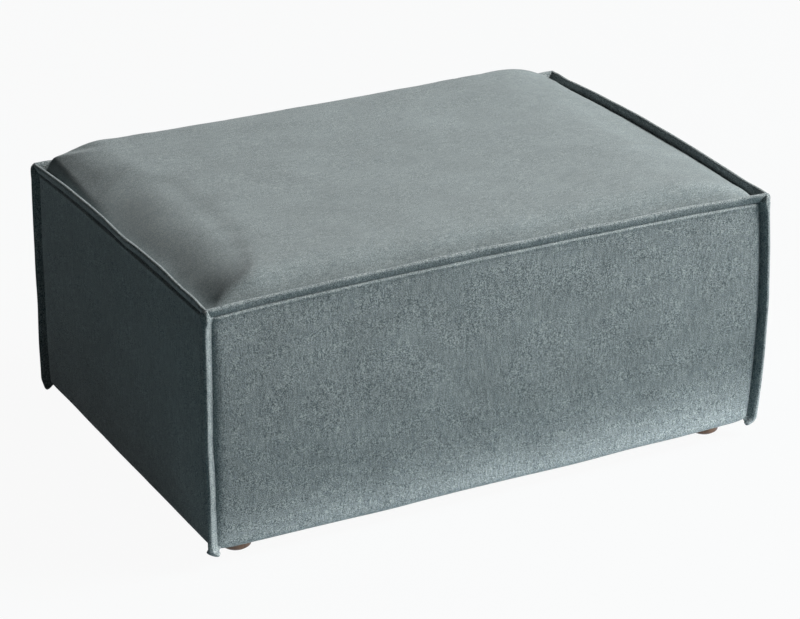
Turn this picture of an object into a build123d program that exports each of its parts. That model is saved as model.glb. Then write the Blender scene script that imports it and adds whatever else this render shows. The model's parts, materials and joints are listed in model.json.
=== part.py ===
from build123d import *
import math
import os

# Upholstered box ottoman: a softwood frame with webbing and foam, covered in cloth with raised flange seams.
# Millimetres. X runs along the long side, Y along the short side, Z up. The front faces -Y.
# The origin is on the floor, under the middle of the ottoman.

# Overall sizes: the width and depth over the tips of the upper flanges, the sides bulge past them
width = 960.0
depth = 660.0
foot_height = 24.0
body_height = 391.0
crown_height = 38.0

# Raised flange seams
flange_width = 15.0
flange_thickness = 7.0
flange_lean = 14.0
flange_ear_radius = 6.0
flange_drop = 4.0
crest_flat = 0.4

# Cloth cover
cloth_thickness = 2.0
side_bulge = 14.0
end_bulge = 8.0
bottom_tuck = 5.0
curl_height = 15.0
return_width = 24.0
top_edge_rise = 4.0
top_end_rise = 2.5

# Padding
edge_padding = 9.0
fibre_thickness = 12.0
foam_edge_rise = 2.0
dust_cloth_thickness = 0.8
dust_cloth_inset = 10.0

# Frame
board_thickness = 4.0
rail_thickness = 18.0
rail_height = 60.0
frame_height = 274.0
stud_width = 45.0
front_stud_count = 4
side_stud_count = 3
cross_rail_place_share = 0.33
dowel_radius = 4.0
dowel_length = 24.0
block_size = 92.0
block_thickness = 20.0
brace_leg = 80.0
brace_thickness = 18.0
screw_radius = 2.2
screw_head_radius = 4.4
screw_head_depth = 3.4
long_screw_length = 58.0
short_screw_length = 40.0
screw_edge = 16.0
brace_screw_place = 24.0
block_screw_place = 68.0

# Seat webbing
webbing_width = 60.0
webbing_thickness = 1.6
long_strap_count = 8
short_strap_count = 4
strap_clearance = 42.0
deck_cloth_thickness = 1.0

# Feet
foot_top_radius = 25.0
foot_base_radius = 23.5
foot_edge_radius = 3.0
foot_inset_x = 62.0
foot_inset_y = 54.0
bolt_radius = 4.0
bolt_depth_in_foot = 15.0
bolt_above_nut = 4.0
nut_barrel_radius = 5.0
nut_barrel_length = 14.0
nut_plate_radius = 8.5
nut_plate_thickness = 1.5
thread_gap = 0.05
glide_radius = 19.0
glide_thickness = 2.0

# Staples
staple_crown = 11.0
staple_wire = 0.7
bottom_staple_leg = 7.0
bottom_staple_spacing = 74.0
webbing_staple_leg = 12.0
webbing_staple_spacing = 30.0

# Swelling of the soft pieces: how many spans they are drawn in, and how squarely they swell
side_spans = 8
side_swell_power = 4
seat_spans = 14
seat_swell_power = 6
shoulder_place_share = 0.87
shoulder_rise_share = 0.80
curl_bulge_share = 0.5

# Heights and distances from the middle that follow from the sizes above
overrun = 50.0
diagonal = math.sqrt(2)
lean_sine = math.sin(math.radians(flange_lean))
lean_cosine = math.cos(math.radians(flange_lean))
crest_radius = (flange_thickness - crest_flat) / 2
crest_centre = flange_width - crest_radius
flange_top = foot_height + body_height
flange_root = flange_thickness / lean_cosine
crest_offset = flange_thickness - crest_radius
seam_z = flange_top - crest_radius - crest_centre * lean_cosine - crest_offset * lean_sine
seam_x = width / 2 - flange_thickness / 2 - crest_centre / diagonal
seam_y = depth / 2 - flange_thickness / 2 - crest_centre / diagonal
seat_top = flange_top + crown_height
body_bottom = foot_height
curl_z = body_bottom + curl_height
frame_bottom = body_bottom + cloth_thickness
frame_top = frame_bottom + frame_height
board_x = seam_x - cloth_thickness - edge_padding
board_y = seam_y - cloth_thickness - edge_padding
frame_x = board_x - board_thickness
frame_y = board_y - board_thickness
rail_middle_x = frame_x - rail_thickness / 2
rail_middle_y = frame_y - rail_thickness / 2
inner_x = frame_x - rail_thickness
inner_y = frame_y - rail_thickness
upper_rail_bottom = frame_top - rail_height
lower_rail_top = frame_bottom + rail_height
cross_rail_x = frame_x * cross_rail_place_share
webbing_top = frame_top + 2 * webbing_thickness
deck_cloth_bottom = webbing_top + staple_wire
foam_bottom = deck_cloth_bottom + deck_cloth_thickness
dust_cloth_bottom = body_bottom - dust_cloth_thickness
dust_cloth_x = seam_x - bottom_tuck - dust_cloth_inset
dust_cloth_y = seam_y - bottom_tuck - dust_cloth_inset
foot_x = width / 2 - foot_inset_x
foot_y = depth / 2 - foot_inset_y
block_top = frame_bottom + block_thickness

# Each side by name: its turn from the front, half its length, and how far out its seam and its board stand
sides = (
    ("front", 0, seam_x, seam_y, board_y),
    ("right", 90, seam_y, seam_x, board_x),
    ("back", 180, seam_x, seam_y, board_y),
    ("left", 270, seam_y, seam_x, board_x),
)
corners = (
    ("front_left", -1, -1),
    ("front_right", 1, -1),
    ("back_right", 1, 1),
    ("back_left", -1, 1),
)


def box_between(corner, opposite):
    """A box between two opposite corners."""
    size = [abs(b - a) for a, b in zip(corner, opposite)]
    middle = [(a + b) / 2 for a, b in zip(corner, opposite)]
    return Pos(*middle) * Box(*size)


def rod_between(radius, low, high):
    """A cylinder about the Z axis between two heights."""
    return Pos(0, 0, (low + high) / 2) * Cylinder(radius, high - low)


from_base = (Align.CENTER, Align.CENTER, Align.MIN)


def one_solid(shape):
    """The only solid of a shape that a cut or a join has wrapped."""
    return shape.solids()[0]


def set_of(shapes):
    """Alike pieces that stay separate solids under one name."""
    return Compound(children=[one_solid(shape) for shape in shapes])


def swell_stations(spans, power):
    """Even places from -1 to 1 along a soft piece, each with its share of the full swell."""
    places = [2 * number / spans - 1 for number in range(spans + 1)]
    return [(place, math.sqrt(max(0, 1 - place**power))) for place in places]


def spread(count, reach):
    """Even places for a row of things, from -reach to reach."""
    return [reach * (2 * number / (count - 1) - 1) for number in range(count)]


# Side panels and pads. Each is drawn as the front one and turned into place.


def side_outline(along, bulge, plane, back, low):
    """Outline across a side: a curl under the lower edge, then one long arc up to the seam."""
    lower_edge = Vector(along, bottom_tuck - plane, low)
    curl_top = Vector(along, -plane - curl_bulge_share * bulge, curl_z)
    fullest = Vector(along, -plane - bulge, (curl_z + seam_z) / 2)
    seam = Vector(along, -plane, seam_z)
    back_top = Vector(along, -back, seam_z)
    back_low = Vector(along, -back, low)
    swell = Edge.make_three_point_arc(curl_top, fullest, seam)
    curl = Edge.make_tangent_arc(curl_top, -(swell % 0), lower_edge)
    top = Edge.make_line(seam, back_top)
    back_line = Edge.make_line(back_top, back_low)
    underside = Edge.make_line(back_low, lower_edge)
    return Wire([curl, swell, top, back_line, underside])


def side_slab(half_length, plane, back, inset):
    """A bulging slab against the board, drawn in by inset on its outside and its underside."""
    reach = half_length + end_bulge
    outlines = []
    for place, share in swell_stations(side_spans, side_swell_power):
        bulge = end_bulge + (side_bulge - end_bulge) * share
        outlines.append(side_outline(reach * place, bulge, plane - inset, back, body_bottom + inset))
    return Solid.make_loft(outlines)


def mitre_prism(half_length, plane):
    """The space that belongs to one side: it narrows inwards at 45 degrees from both corners."""
    outer = plane + overrun
    outline = Polyline(
        (-half_length - overrun, -outer),
        (half_length + overrun, -outer),
        (half_length - 2 * overrun, 2 * overrun - plane),
        (2 * overrun - half_length, 2 * overrun - plane),
        close=True,
    )
    return extrude(make_face(outline), flange_top + overrun)


def side_cover(half_length, plane, back, corner_spaces):
    """The cloth of one side, with the strip that turns in under the frame."""
    skin = side_slab(half_length, plane, back, 0) - side_slab(half_length, plane, back, cloth_thickness)
    strip = box_between(
        (-half_length, -back, body_bottom),
        (half_length, return_width - back, frame_bottom),
    )
    return one_solid((skin + strip) & mitre_prism(half_length, plane)) - corner_spaces


def side_pad(half_length, plane, back, corner_spaces):
    """The foam between the cloth and the board."""
    pad = side_slab(half_length, plane, back, cloth_thickness)
    return one_solid(pad & mitre_prism(half_length, plane)) - corner_spaces


# Raised flange seams


def top_flange(half_length, plane, corner_spaces):
    """A fin along one upper edge, its outside on the seam line, leaning outwards."""
    reach = half_length + overrun
    hidden = flange_thickness * (lean_sine + 1)
    plate = box_between((-reach, 0, -hidden), (reach, flange_thickness, flange_width))
    crest = plate.edges().filter_by(Axis.X).group_by(Axis.Z)[-1]
    leaning = Pos(0, -plane, seam_z) * Rot(flange_lean, 0, 0) * fillet(crest, crest_radius)
    high = flange_top + overrun
    above_seam = box_between((-reach, -plane - overrun, seam_z), (reach, overrun - plane, high))
    return (leaning & above_seam & mitre_prism(half_length, plane)) - corner_spaces


# The upright flanges are drawn along X from the corner line, in the plane of their thickness.
flange_inner = -cloth_thickness * diagonal
flange_tuck = bottom_tuck * diagonal
flange_low = body_bottom - flange_drop
corner_bow = end_bulge * diagonal


def flange_plate(outer_lines, top):
    """A plate as thick as a flange: the slope inside the lower curl, then the outer lines given."""
    inside = Polyline((flange_inner - flange_tuck, flange_low), (flange_inner, curl_z), (flange_inner, top))
    return extrude(Plane.XZ * make_face([inside] + outer_lines), flange_thickness / 2, both=True)


def upright_flange():
    """A fin that stands out from a corner and bows with it, its foot tucked in under the bottom edge."""
    foot_outer = (flange_width - flange_tuck, flange_low)
    curl_outer = (flange_width + curl_bulge_share * corner_bow, curl_z)
    fullest = (flange_width + corner_bow, (curl_z + seam_z) / 2)
    upper = Line((flange_inner, flange_top), (flange_width, flange_top))
    bow = ThreePointArc((flange_width, flange_top), fullest, curl_outer)
    curl = TangentArc(curl_outer, foot_outer, tangent=bow % 1)
    lower = Line(foot_outer, (flange_inner - flange_tuck, flange_low))
    plate = flange_plate([upper, bow, curl, lower], flange_top)
    ear = plate.edges().filter_by(Axis.Y).group_by(Axis.Z)[-1].sort_by(Axis.X)[-1]
    plate = fillet(ear, flange_ear_radius)
    rims = plate.edges().filter_by(Axis.Y, reverse=True)
    crest = [rim for rim in rims if rim.center().X > 0]
    return fillet(crest, crest_radius)


def corner_space():
    """The space of an upright flange and what lies outside it, for cutting the pieces that meet there."""
    high = flange_top + overrun
    far = flange_width + overrun
    around = Polyline(
        (flange_inner, high),
        (far, high),
        (far, flange_low),
        (flange_inner - flange_tuck, flange_low),
    )
    return flange_plate([around], high)


def at_corner(piece, x_side, y_side):
    turn = math.degrees(math.atan2(y_side, x_side))
    return Pos(x_side * seam_x, y_side * seam_y, 0) * Rot(0, 0, turn) * piece


# Seat: cloth, fibre wrap and foam, each a crowned body inside the last one


def seat_outline(along, half_depth, edge_z, top_z):
    """Outline across the seat: upright edges, rounded shoulders and a flat middle arc."""
    shoulder_y = half_depth * shoulder_place_share
    shoulder_z = edge_z + (top_z - edge_z) * shoulder_rise_share
    front_shoulder = Vector(along, -shoulder_y, shoulder_z)
    back_shoulder = Vector(along, shoulder_y, shoulder_z)
    front_edge = Vector(along, -half_depth, edge_z)
    back_edge = Vector(along, half_depth, edge_z)
    front_low = Vector(along, -half_depth, seam_z)
    back_low = Vector(along, half_depth, seam_z)
    middle = Edge.make_three_point_arc(front_shoulder, Vector(along, 0, top_z), back_shoulder)
    front = Edge.make_tangent_arc(front_shoulder, -(middle % 0), front_edge)
    back = Edge.make_tangent_arc(back_shoulder, middle % 1, back_edge)
    back_line = Edge.make_line(back_edge, back_low)
    underside = Edge.make_line(back_low, front_low)
    front_line = Edge.make_line(front_low, front_edge)
    return Wire([front, middle, back, back_line, underside, front_line])


def seat_crown(inset, edge_rise):
    """A crowned body on the seam plane, drawn in by inset all round and from above."""
    half_width = seam_x - flange_root - inset
    half_depth = seam_y - flange_root - inset
    edge_z = seam_z + edge_rise
    end_z = edge_z + top_end_rise
    outlines = []
    for place, share in swell_stations(seat_spans, seat_swell_power):
        top_z = end_z + (seat_top - inset - end_z) * share
        outlines.append(seat_outline(half_width * place, half_depth, edge_z, top_z))
    return Solid.make_loft(outlines)


def seat_layers():
    """The cloth panel, the fibre wrap under it and the foam block under that."""
    cloth_outside = seat_crown(0, top_edge_rise)
    cloth_inside = seat_crown(cloth_thickness, top_edge_rise - cloth_thickness)
    foam_crown = seat_crown(cloth_thickness + fibre_thickness, foam_edge_rise)
    slab = box_between((-board_x, -board_y, foam_bottom), (board_x, board_y, seam_z))
    return cloth_outside - cloth_inside, cloth_inside - foam_crown, slab + foam_crown


# Frame. Screws and dowels are made first, and their holes are cut with the same solids.


def screw(length):
    """A countersunk wood screw, drawn along Y from its head's face at the origin."""
    shaft = Cylinder(screw_radius, length, align=from_base)
    head = Cone(screw_head_radius, screw_radius, screw_head_depth, align=from_base)
    return Rot(-90, 0, 0) * (shaft + head)


def long_screws():
    """Screws through the front and back rails into the ends of the side rails and cross rails."""
    lower = (frame_bottom + screw_edge, lower_rail_top - screw_edge)
    upper = (upper_rail_bottom + screw_edge, frame_top - screw_edge)
    places = [(x, z) for x in (-rail_middle_x, rail_middle_x) for z in lower + upper]
    places += [(x, z) for x in (-cross_rail_x, cross_rail_x) for z in lower]
    front = [Pos(x, -frame_y, z) * screw(long_screw_length) for x, z in places]
    return front + [Rot(0, 0, 180) * one for one in front]


def short_screws():
    """Screws through all rails into the corner braces above and the foot blocks below."""
    brace_z = frame_top - brace_thickness / 2
    block_z = frame_bottom + block_thickness / 2
    made = []
    for place, z in ((brace_screw_place, brace_z), (block_screw_place, block_z)):
        for side in (-1, 1):
            along_front = Pos(side * (inner_x - place), -frame_y, z) * screw(short_screw_length)
            right_place = Pos(frame_x, side * (inner_y - place), z)
            along_right = right_place * Rot(0, 0, 90) * screw(short_screw_length)
            made += [along_front, Rot(0, 0, 180) * along_front, along_right, Rot(0, 0, 180) * along_right]
    return made


def uprights(places, plane):
    """The studs of the front frame, or of another once turned, and the dowels in their ends."""
    studs = []
    dowels = []
    for along in places:
        stud = box_between(
            (along - stud_width / 2, -plane - rail_thickness / 2, lower_rail_top),
            (along + stud_width / 2, rail_thickness / 2 - plane, upper_rail_bottom),
        )
        ends = [
            Pos(along, -plane, 0) * rod_between(dowel_radius, z - dowel_length / 2, z + dowel_length / 2)
            for z in (lower_rail_top, upper_rail_bottom)
        ]
        studs.append(stud - ends)
        dowels += ends
    return studs, dowels


def frame_uprights():
    """Studs of each side by name, and all their dowels."""
    front_places = spread(front_stud_count, frame_x - stud_width / 2)
    side_places = spread(side_stud_count, inner_y - stud_width / 2)
    studs = {}
    dowels = []
    for name, turn, half_length, plane, back in sides:
        if name in ("front", "back"):
            side_studs, side_dowels = uprights(front_places, rail_middle_y)
        else:
            side_studs, side_dowels = uprights(side_places, rail_middle_x)
        studs[name] = [Rot(0, 0, turn) * stud for stud in side_studs]
        dowels += [Rot(0, 0, turn) * dowel for dowel in side_dowels]
    return studs, dowels


def rail(name, turn, low, cutters):
    """One horizontal rail with its holes: the front and back ones run past the ends of the side ones."""
    if name in ("front", "back"):
        half_length, plane = frame_x, rail_middle_y
    else:
        half_length, plane = inner_y, rail_middle_x
    plain = box_between(
        (-half_length, -plane - rail_thickness / 2, low),
        (half_length, rail_thickness / 2 - plane, low + rail_height),
    )
    return Rot(0, 0, turn) * plain - cutters


def cross_rail(x, cutters):
    """A rail from front to back between the lower rails."""
    plain = box_between(
        (x - rail_thickness / 2, -inner_y, frame_bottom),
        (x + rail_thickness / 2, inner_y, lower_rail_top),
    )
    return plain - cutters


def corner_brace(x_side, y_side, cutters):
    """A triangular block between two upper rails, flush with their tops."""
    outline = Polyline(
        (x_side * inner_x, y_side * inner_y),
        (x_side * (inner_x - brace_leg), y_side * inner_y),
        (x_side * inner_x, y_side * (inner_y - brace_leg)),
        close=True,
    )
    plain = extrude(make_face(outline), brace_thickness, dir=(0, 0, 1))
    return Pos(0, 0, frame_top - brace_thickness) * plain - cutters


def board(half_length, plane):
    """A hardboard sheet on the outside of one frame."""
    outside = -plane - board_thickness
    return box_between((-half_length, outside, frame_bottom), (half_length, -plane, foam_bottom))


# Seat webbing, with the cloth that lies over it


def strap(along, reach, rail_width, low):
    """A strap across the frame along Y, its ends folded double on the rails."""
    flat = box_between(
        (along - webbing_width / 2, -reach, low),
        (along + webbing_width / 2, reach, low + webbing_thickness),
    )
    folds = [
        box_between(
            (along - webbing_width / 2, side * reach, frame_top),
            (along + webbing_width / 2, side * (reach - rail_width), webbing_top),
        )
        for side in (-1, 1)
    ]
    return flat + folds


def long_strap_places():
    return spread(long_strap_count, inner_x - strap_clearance - webbing_width / 2)


def short_strap_places():
    return spread(short_strap_count, inner_y - strap_clearance - webbing_width / 2)


def straps():
    """The straps from front to back, and the ones from side to side that lie on them."""
    fold = rail_thickness - deck_cloth_thickness
    reach_x = frame_x - deck_cloth_thickness
    reach_y = frame_y - deck_cloth_thickness
    upper = frame_top + webbing_thickness
    front_to_back = [strap(x, reach_y, fold, frame_top) for x in long_strap_places()]
    side_to_side = [Rot(0, 0, 90) * strap(y, reach_x, fold, upper) for y in short_strap_places()]
    return front_to_back, side_to_side


def deck_cloth():
    """The cloth over the webbing, its rim turned down onto the upper rails."""
    outside = box_between((-frame_x, -frame_y, frame_top), (frame_x, frame_y, foam_bottom))
    under = box_between(
        (deck_cloth_thickness - frame_x, deck_cloth_thickness - frame_y, frame_top),
        (frame_x - deck_cloth_thickness, frame_y - deck_cloth_thickness, deck_cloth_bottom),
    )
    return outside - under


def staple(leg):
    """A staple with its crown along X, just under the origin, and its legs up."""
    crown = box_between(
        (-staple_crown / 2, -staple_wire / 2, -staple_wire),
        (staple_crown / 2, staple_wire / 2, 0),
    )
    legs = [
        box_between(
            (side * staple_crown / 2, -staple_wire / 2, 0),
            (side * (staple_crown / 2 - staple_wire), staple_wire / 2, leg),
        )
        for side in (-1, 1)
    ]
    return crown + legs


def webbing_staples():
    """Two staples at each end of each strap, down into the upper rails."""
    made = []
    down = Rot(180, 0, 0) * staple(webbing_staple_leg)
    for along in long_strap_places():
        for across in spread(2, webbing_staple_spacing / 2):
            made += [Pos(along + across, side * rail_middle_y, webbing_top) * down for side in (-1, 1)]
    for along in short_strap_places():
        for across in spread(2, webbing_staple_spacing / 2):
            turned = Rot(0, 0, 90) * down
            made += [Pos(side * rail_middle_x, along + across, webbing_top) * turned for side in (-1, 1)]
    return made


# Feet and what holds them


def foot():
    """A short turned foot that narrows downwards, with a rounded lower edge and a bore for its bolt."""
    height = dust_cloth_bottom - glide_thickness
    turned = Cone(foot_base_radius, foot_top_radius, height, align=from_base)
    lower_edge = turned.edges().group_by(Axis.Z)[0]
    turned = Pos(0, 0, glide_thickness) * fillet(lower_edge, foot_edge_radius)
    return turned - rod_between(bolt_radius, dust_cloth_bottom - bolt_depth_in_foot, dust_cloth_bottom)


def hanger_bolt():
    """A headless bolt from the foot up through the block and its nut."""
    top = block_top + nut_plate_thickness + bolt_above_nut
    return rod_between(bolt_radius, dust_cloth_bottom - bolt_depth_in_foot, top)


def tee_nut():
    """A flanged nut on top of the block, its barrel let into it."""
    plate = rod_between(nut_plate_radius, block_top, block_top + nut_plate_thickness)
    barrel = rod_between(nut_barrel_radius, block_top - nut_barrel_length, block_top)
    thread = rod_between(bolt_radius + thread_gap, frame_bottom, frame_top)
    return plate + barrel - thread


def foot_block(x_side, y_side, cutters):
    """The block in a lower corner of the frame that carries a foot."""
    plain = box_between(
        (x_side * inner_x, y_side * inner_y, frame_bottom),
        (x_side * (inner_x - block_size), y_side * (inner_y - block_size), block_top),
    )
    barrel = rod_between(nut_barrel_radius, block_top - nut_barrel_length, block_top)
    thread = rod_between(bolt_radius + thread_gap, frame_bottom, block_top)
    bore = [Pos(x_side * foot_x, y_side * foot_y, 0) * hole for hole in (barrel, thread)]
    return plain - bore - cutters


def at_feet(piece):
    """One copy of a piece at each foot."""
    return [Pos(x_side * foot_x, y_side * foot_y, 0) * piece for name, x_side, y_side in corners]


# What closes the bottom


def dust_cloth():
    """The black cloth under the frame, with a hole for each foot's bolt."""
    sheet = box_between(
        (-dust_cloth_x, -dust_cloth_y, dust_cloth_bottom),
        (dust_cloth_x, dust_cloth_y, body_bottom),
    )
    return sheet - at_feet(rod_between(bolt_radius + thread_gap, dust_cloth_bottom, body_bottom))


def bottom_staples():
    """Staples along all four sides between the feet, up into the middle of the lower rails."""
    made = []
    for name, turn, half_length, plane, back in sides:
        foot_place = foot_x if name in ("front", "back") else foot_y
        rail_middle = back - board_thickness - rail_thickness / 2
        reach = foot_place - foot_top_radius - staple_crown
        count = round(2 * reach / bottom_staple_spacing) + 1
        for along in spread(count, reach):
            place = Pos(along, -rail_middle, dust_cloth_bottom)
            made.append(Rot(0, 0, turn) * place * staple(bottom_staple_leg))
    return made


def cover_and_padding():
    """The cloth panels, their flange seams and the padding, by name."""
    made = {}
    flange = upright_flange()
    for name, x_side, y_side in corners:
        made["flange_corner_" + name] = at_corner(flange, x_side, y_side)
    spaces = [at_corner(corner_space(), x_side, y_side) for name, x_side, y_side in corners]
    for name, turn, half_length, plane, back in sides:
        turned = [Rot(0, 0, -turn) * space for space in spaces]
        made["flange_top_" + name] = Rot(0, 0, turn) * top_flange(half_length, plane, turned)
        made["cover_" + name + "_panel"] = Rot(0, 0, turn) * side_cover(half_length, plane, back, turned)
        made["foam_pad_" + name] = Rot(0, 0, turn) * side_pad(half_length, plane, back, turned)
    made["cover_top_panel"], made["fibre_wrap"], made["seat_foam"] = seat_layers()
    return made


def frame_pieces():
    """The wooden frame, its boards and its fastenings, by name."""
    made = {}
    sets = {"long_frame_screws": long_screws(), "short_frame_screws": short_screws()}
    studs, sets["stud_dowels"] = frame_uprights()
    holes = [piece for pieces in sets.values() for piece in pieces]
    for name, turn, half_length, plane, back in sides:
        made[name + "_lower_rail"] = rail(name, turn, frame_bottom, holes)
        made[name + "_upper_rail"] = rail(name, turn, upper_rail_bottom, holes)
        reach = board_x if name in ("front", "back") else frame_y
        made[name + "_board"] = Rot(0, 0, turn) * board(reach, back - board_thickness)
        sets[name + "_studs"] = studs[name]
    sets["cross_rails"] = [cross_rail(side * cross_rail_x, holes) for side in (-1, 1)]
    sets["corner_braces"] = [corner_brace(x_side, y_side, holes) for name, x_side, y_side in corners]
    for name, x_side, y_side in corners:
        made["foot_block_" + name] = foot_block(x_side, y_side, holes)
    return made, sets


def webbing_pieces():
    """The webbing, its staples and the cloth over it, by name."""
    front_to_back, side_to_side = straps()
    sets = {
        "webbing_front_to_back": front_to_back,
        "webbing_side_to_side": side_to_side,
        "webbing_staples": webbing_staples(),
    }
    return {"deck_cloth": deck_cloth()}, sets


def bottom_pieces():
    """The feet, their fastenings and the cloth under the frame, by name."""
    made = {"dust_cloth": dust_cloth()}
    for (name, x_side, y_side), one in zip(corners, at_feet(foot())):
        made["foot_" + name] = one
    sets = {
        "foot_glides": at_feet(rod_between(glide_radius, 0, glide_thickness)),
        "hanger_bolts": at_feet(hanger_bolt()),
        "tee_nuts": at_feet(tee_nut()),
        "dust_cloth_staples": bottom_staples(),
    }
    return made, sets


def build():
    os.makedirs("parts", exist_ok=True)
    pieces = cover_and_padding()
    for made, sets in (frame_pieces(), webbing_pieces(), bottom_pieces()):
        pieces.update(made)
        pieces.update({name: set_of(shapes) for name, shapes in sets.items()})
    for name, shape in pieces.items():
        export_step(shape, os.path.join("parts", name + ".step"))
    print(len(pieces), "nodes")


build()
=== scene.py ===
import json
import math

import bpy
import numpy as np
from mathutils import Matrix, Vector, noise


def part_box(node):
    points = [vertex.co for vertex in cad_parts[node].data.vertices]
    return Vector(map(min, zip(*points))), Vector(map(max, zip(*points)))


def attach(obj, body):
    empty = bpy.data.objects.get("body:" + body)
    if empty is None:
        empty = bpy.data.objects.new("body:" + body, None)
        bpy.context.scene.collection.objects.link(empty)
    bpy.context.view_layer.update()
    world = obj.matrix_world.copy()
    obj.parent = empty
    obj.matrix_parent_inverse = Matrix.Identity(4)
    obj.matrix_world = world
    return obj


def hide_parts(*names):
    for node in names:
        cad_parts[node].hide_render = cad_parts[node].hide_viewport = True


# Upholstered ottoman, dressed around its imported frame. Metres, Z up, the front faces -Y.
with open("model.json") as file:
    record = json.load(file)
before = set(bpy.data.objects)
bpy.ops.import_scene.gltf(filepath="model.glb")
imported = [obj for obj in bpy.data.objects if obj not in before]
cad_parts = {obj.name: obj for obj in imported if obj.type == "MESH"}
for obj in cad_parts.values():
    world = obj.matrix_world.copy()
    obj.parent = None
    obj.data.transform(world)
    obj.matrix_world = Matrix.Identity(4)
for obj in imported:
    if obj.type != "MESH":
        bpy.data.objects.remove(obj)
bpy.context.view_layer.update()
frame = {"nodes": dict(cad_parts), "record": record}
print("frame loaded:", len(frame["nodes"]), "nodes")

millimetre = 0.001

# Where the cover is sewn together, and what stands behind it
seams = {
    "x": 0.4682,  # seam lines, from the middle
    "y": 0.3182,
    "z": 0.3995,
    "padDepth": 0.011,  # from the seam line back to the board
    "bottom": 0.024,  # lower edge of the cover
    "frameBottom": 0.026,
    "curlHeight": 0.015,  # where the sides begin to turn under
    "curlTuck": 0.005,
    "returnWidth": 0.024,  # strip of cloth under the frame
}

# Each side: its name, the way it faces, half its length and how far out its seam is
sides = (
    ("front", 0, seams["x"], seams["y"]),
    ("right", 90, seams["y"], seams["x"]),
    ("back", 180, seams["x"], seams["y"]),
    ("left", 270, seams["y"], seams["x"]),
)
# Each corner: its name, its signs of x and y, how far the stuffing pushes it out along its diagonal at the
# top, half-way and low, how far it rises, and how many degrees its seam is bent off the diagonal
corners = (
    ("front_left", -1, -1, (0.0105, 0.0135, 0.0115), 0.0032, -14),
    ("front_right", 1, -1, (0.0115, 0.0185, 0.0105), 0.0050, -16),
    ("back_right", 1, 1, (0.0135, 0.0160, 0.0130), 0.0030, 0),
    ("back_left", -1, 1, (0.0155, 0.0175, 0.0180), 0.0020, 8),
)
# Which corners each side ends at
sideEnds = {"front": (0, 1), "right": (1, 2), "back": (2, 3), "left": (3, 0)}
# The middle of each upper seam: how far it bows out and how far it rises
seamMiddles = {
    "front": (0.0130, 0.0128),
    "right": (0.0140, 0.0125),
    "back": (0.0100, 0.0080),
    "left": (0.0130, 0.0113),
}


def smooth(place):
    place = np.clip(place, 0, 1)
    return place * place * (3 - 2 * place)


def lip(distance, radius):
    # quarter round, 0 at a seam and 1 from one radius away
    place = np.clip(distance / radius, 0, 1)
    return np.sqrt(1 - (1 - place) ** 2)


def drift(places, pitch, seed):
    # slow waviness along a line, about -1 to 1, always the same for a seed
    waves = [2 * noise.noise(Vector((p / pitch, seed * 1.7, seed * 0.31))) for p in np.ravel(places)]
    return np.array(waves)


def drift2(across, along, pitchAcross, pitchAlong, seed):
    # the same over a surface
    flat = [
        2 * noise.noise(Vector((a / pitchAcross, b / pitchAlong, seed * 1.37)))
        for a, b in zip(np.ravel(across), np.ravel(along))
    ]
    return np.array(flat).reshape(np.shape(across))


def sideToWorld(turn, along, out, height):
    # from a side's own directions to the ottoman's: the front is drawn, the others are turned
    angle = math.radians(turn)
    x = along * math.cos(angle) + out * math.sin(angle)
    y = along * math.sin(angle) - out * math.cos(angle)
    return np.stack([x, y, height], axis=-1)


def cornerPush(pushes, height):
    # a smooth curve through the three pushes of a corner
    top, middle, low = pushes
    down = np.clip((seams["z"] - height) / (seams["z"] - seams["bottom"] - seams["curlHeight"]), 0, 1)
    return top + (4 * middle - 3 * top - low) * down + (2 * top + 2 * low - 4 * middle) * down**2


def upperSeam(name, share):
    # how far a side's upper seam lies out and up, share runs from -1 at one corner to 1 at the other
    first, last = (corners[end] for end in sideEnds[name])
    towards = (1 + share) / 2
    endOut = (first[3][0] + (last[3][0] - first[3][0]) * towards) / math.sqrt(2)
    endUp = first[4] + (last[4] - first[4]) * towards
    out, up = seamMiddles[name]
    swell = 1 - np.abs(share) ** 2.6
    return endOut + (out - endOut) * swell, endUp + (up - endUp) * swell


def newPiece(name, points, faces, material):
    mesh = bpy.data.meshes.new(name)
    mesh.from_pydata([tuple(p) for p in points], [], faces)
    mesh.validate()
    mesh.shade_smooth()
    piece = bpy.data.objects.new(name, mesh)
    bpy.context.scene.collection.objects.link(piece)
    piece.data.materials.append(material)
    return piece


def slabFaces(rows, columns, start=0):
    # closed slab: an outer grid, an inner grid and the four strips between their rims
    count = rows * columns
    outer = lambda r, c: start + r * columns + c
    inner = lambda r, c: start + count + r * columns + c
    faces = []
    for r in range(rows - 1):
        for c in range(columns - 1):
            faces.append((outer(r, c), outer(r, c + 1), outer(r + 1, c + 1), outer(r + 1, c)))
            faces.append((inner(r, c), inner(r + 1, c), inner(r + 1, c + 1), inner(r, c + 1)))
    lastRow, lastColumn = rows - 1, columns - 1
    for c in range(lastColumn):
        faces.append((outer(0, c + 1), outer(0, c), inner(0, c), inner(0, c + 1)))
        faces.append((outer(lastRow, c), outer(lastRow, c + 1), inner(lastRow, c + 1), inner(lastRow, c)))
    for r in range(lastRow):
        faces.append((outer(r, 0), outer(r + 1, 0), inner(r + 1, 0), inner(r, 0)))
        here, below = (r, lastColumn), (r + 1, lastColumn)
        faces.append((outer(*below), outer(*here), inner(*here), inner(*below)))
    return faces


def slabPiece(name, outer, inner, material):
    rows, columns = outer.shape[:2]
    points = np.concatenate([outer.reshape(-1, 3), inner.reshape(-1, 3)])
    return newPiece(name, points, slabFaces(rows, columns), material)


def tubeFaces(rings, around, start=0):
    faces = []
    for r in range(rings - 1):
        for c in range(around):
            d = (c + 1) % around
            a, b = start + r * around, start + (r + 1) * around
            faces.append((a + c, a + d, b + d, b + c))
    return faces


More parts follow.
